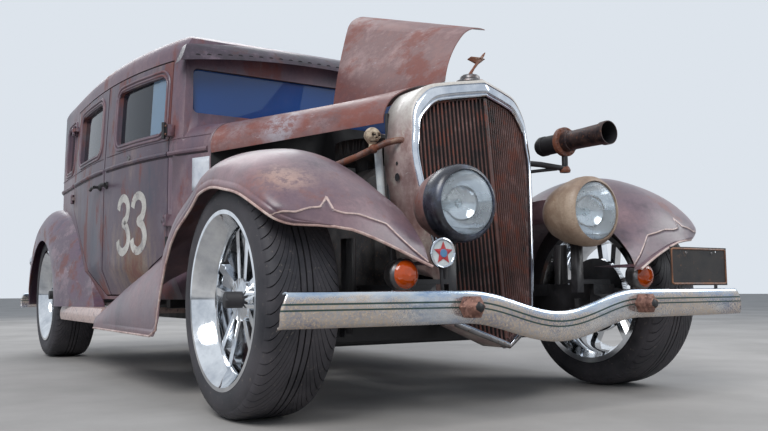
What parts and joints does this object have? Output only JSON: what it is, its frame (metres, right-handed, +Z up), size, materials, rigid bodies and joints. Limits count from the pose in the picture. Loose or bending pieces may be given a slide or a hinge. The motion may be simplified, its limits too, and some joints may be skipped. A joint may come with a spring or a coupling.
{
  "type": "hot rod sedan",
  "caption": "Low chopped hot rod sedan with a V-shaped upright grille, rusty separate fenders, opening hood halves and doors, steered and rolling wheels.",
  "frame": {"origin": "on the ground under the middle of the car", "axes": "+X to the car's left, -Y to its front, +Z up"},
  "size_m": [1.75, 4.0934, 1.6162],
  "materials": {
    "doors_paint": "worn blue-grey paint over rust, matte",
    "fender_paint": "mauve-brown rust patina, matte",
    "hood_paint": "red-brown rust patina, matte",
    "shell_cream": "cream paint worn to rust, chrome face",
    "lamp_paint": "rust-brown, matte",
    "chrome": "chrome peppered with rust",
    "rim_chrome": "polished",
    "rusty_iron": "rusty",
    "engine_iron": "oily, dark",
    "black_frame": "black, satin",
    "dash_black": "black",
    "core_black": "black fins",
    "plate_black": "black, blank",
    "glass": "blue tint",
    "lens": "clear, fluted",
    "amber": "amber domes",
    "red_lens": "red",
    "seat_leather": "dark brown",
    "rubber_mat": "ribbed",
    "tyre": "black",
    "bone": "bone colour"
  },
  "bodies": {
    "chassis": {"body_shell": "doors_paint", "bumper_irons": "rusty_iron", "bumpers": "chrome", "chassis_frame": "black_frame", "dashboard": "dash_black", "engine": "engine_iron", "exhaust": "rusty_iron", "fixed_glass": "glass", "front_axle": "black_frame", "front_fenders": "fender_paint", "front_seat": "seat_leather", "grille": "rusty_iron", "headlamp_lenses": "lens", "headlamp_shells": "lamp_paint", "lamp_stands": "black_frame", "number_plate": "plate_black", "radiator_cap": "chrome", "radiator_core": "core_black", "radiator_shell": "shell_cream", "rear_axle": "black_frame", "rear_fenders": "fender_paint", "rear_seat": "seat_leather", "running_boards": "rubber_mat", "scrap_gun": "rusty_iron", "shell_arms": "rusty_iron", "signal_lamps": "amber", "skull": "bone", "springs_and_dampers": "black_frame", "sun_visor": "black_frame", "tail_lamps": "red_lens"},
    "door_front_right": {"door_front_right": "doors_paint", "door_glass_front_right": "glass"},
    "wheel_front_right": {"rim_front_right": "rim_chrome", "tyre_front_right": "tyre"},
    "door_front_left": {"door_front_left": "doors_paint", "door_glass_front_left": "glass"},
    "wheel_front_left": {"rim_front_left": "rim_chrome", "tyre_front_left": "tyre"},
    "door_rear_right": {"door_rear_right": "doors_paint", "door_glass_rear_right": "glass"},
    "wheel_rear_right": {"rim_rear_right": "rim_chrome", "tyre_rear_right": "tyre"},
    "door_rear_left": {"door_rear_left": "doors_paint", "door_glass_rear_left": "glass"},
    "wheel_rear_left": {"rim_rear_left": "rim_chrome", "tyre_rear_left": "tyre"},
    "hood_right": {"hood_right": "hood_paint"},
    "hood_left": {"hood_left": "hood_paint"},
    "knuckle_right": {"knuckle_right": "black_frame"},
    "knuckle_left": {"knuckle_left": "black_frame"},
    "tie_rod": {"tie_rod": "black_frame"}
  },
  "joints": [
    {"name": "steer_right", "type": "hinge", "parent": "chassis", "child": "knuckle_right", "pos_m": [-0.62, -1.5, 0.338], "axis": [0, 0, 1], "range_deg": [-28, 28]},
    {"name": "spin_front_right", "type": "hinge", "parent": "knuckle_right", "child": "wheel_front_right", "pos_m": [-0.73, -1.5, 0.338], "axis": [1, 0, 0], "continuous": true},
    {"name": "spin_rear_right", "type": "hinge", "parent": "chassis", "child": "wheel_rear_right", "pos_m": [-0.73, 1.294, 0.35], "axis": [1, 0, 0], "continuous": true},
    {"name": "steer_left", "type": "hinge", "parent": "chassis", "child": "knuckle_left", "pos_m": [0.62, -1.5, 0.338], "axis": [0, 0, 1], "range_deg": [-28, 28]},
    {"name": "spin_front_left", "type": "hinge", "parent": "knuckle_left", "child": "wheel_front_left", "pos_m": [0.73, -1.5, 0.338], "axis": [1, 0, 0], "continuous": true},
    {"name": "spin_rear_left", "type": "hinge", "parent": "chassis", "child": "wheel_rear_left", "pos_m": [0.73, 1.294, 0.35], "axis": [1, 0, 0], "continuous": true},
    {"name": "tie_rod_swivel", "type": "hinge", "parent": "knuckle_right", "child": "tie_rod", "pos_m": [-0.62, -1.37, 0.205], "axis": [0, 0, 1], "range_deg": [-28, 28]},
    {"name": "hood_right_hinge", "type": "hinge", "parent": "chassis", "child": "hood_right", "pos_m": [0, -1, 1.088], "axis": [0, 1, 0], "range_deg": [0, 90]},
    {"name": "hood_left_hinge", "type": "hinge", "parent": "chassis", "child": "hood_left", "pos_m": [0, -1, 1.088], "axis": [0, 1, 0], "range_deg": [0, 83]},
    {"name": "door_front_right_hinge", "type": "hinge", "parent": "chassis", "child": "door_front_right", "pos_m": [-0.66, -0.368, 0.85], "axis": [0, 0, 1], "range_deg": [0, 65]},
    {"name": "door_rear_right_hinge", "type": "hinge", "parent": "chassis", "child": "door_rear_right", "pos_m": [-0.785, 0.9, 0.85], "axis": [0, 0, -1], "range_deg": [0, 65]},
    {"name": "door_front_left_hinge", "type": "hinge", "parent": "chassis", "child": "door_front_left", "pos_m": [0.66, -0.368, 0.85], "axis": [0, 0, -1], "range_deg": [0, 65]},
    {"name": "door_rear_left_hinge", "type": "hinge", "parent": "chassis", "child": "door_rear_left", "pos_m": [0.785, 0.9, 0.85], "axis": [0, 0, 1], "range_deg": [0, 65]}
  ],
  "couplings": [
    {"joint": "steer_left", "follows": "steer_right", "ratio": 1},
    {"joint": "tie_rod_swivel", "follows": "steer_right", "ratio": -1}
  ]
}
